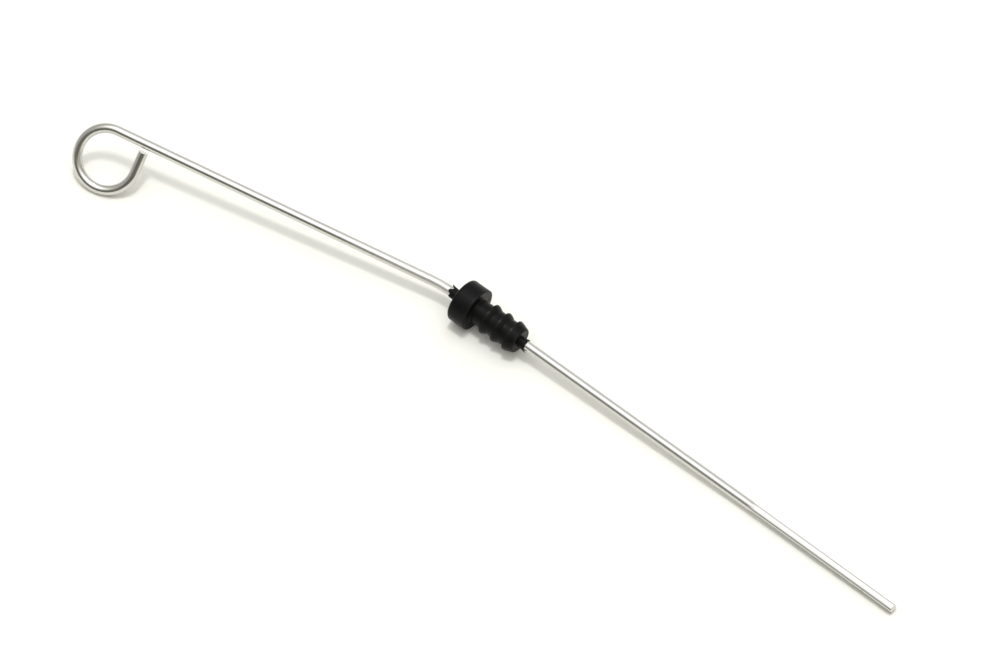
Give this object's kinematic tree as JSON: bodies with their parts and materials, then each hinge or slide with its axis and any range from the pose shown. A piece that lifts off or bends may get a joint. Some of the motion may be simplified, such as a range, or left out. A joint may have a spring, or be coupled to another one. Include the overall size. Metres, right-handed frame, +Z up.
{
  "type": "engine oil dipstick",
  "caption": "Plated wire oil dipstick with a bent finger loop, a barbed rubber stopper that plugs the dipstick tube, and a flattened measuring end.",
  "frame": {"origin": "on the floor under the middle of the part as it lies", "axes": "+X along the straight lower wire towards the measuring end, +Z up from the floor that it lies on"},
  "size_m": [0.3772, 0.0592, 0.0214],
  "materials": {
    "zinc_plated_steel": "bright zinc plate on drawn steel wire",
    "black_rubber": "matt moulded rubber"
  },
  "bodies": {
    "root": {"dipstick_wire": "zinc_plated_steel", "rubber_stopper": "black_rubber"}
  },
  "joints": []
}
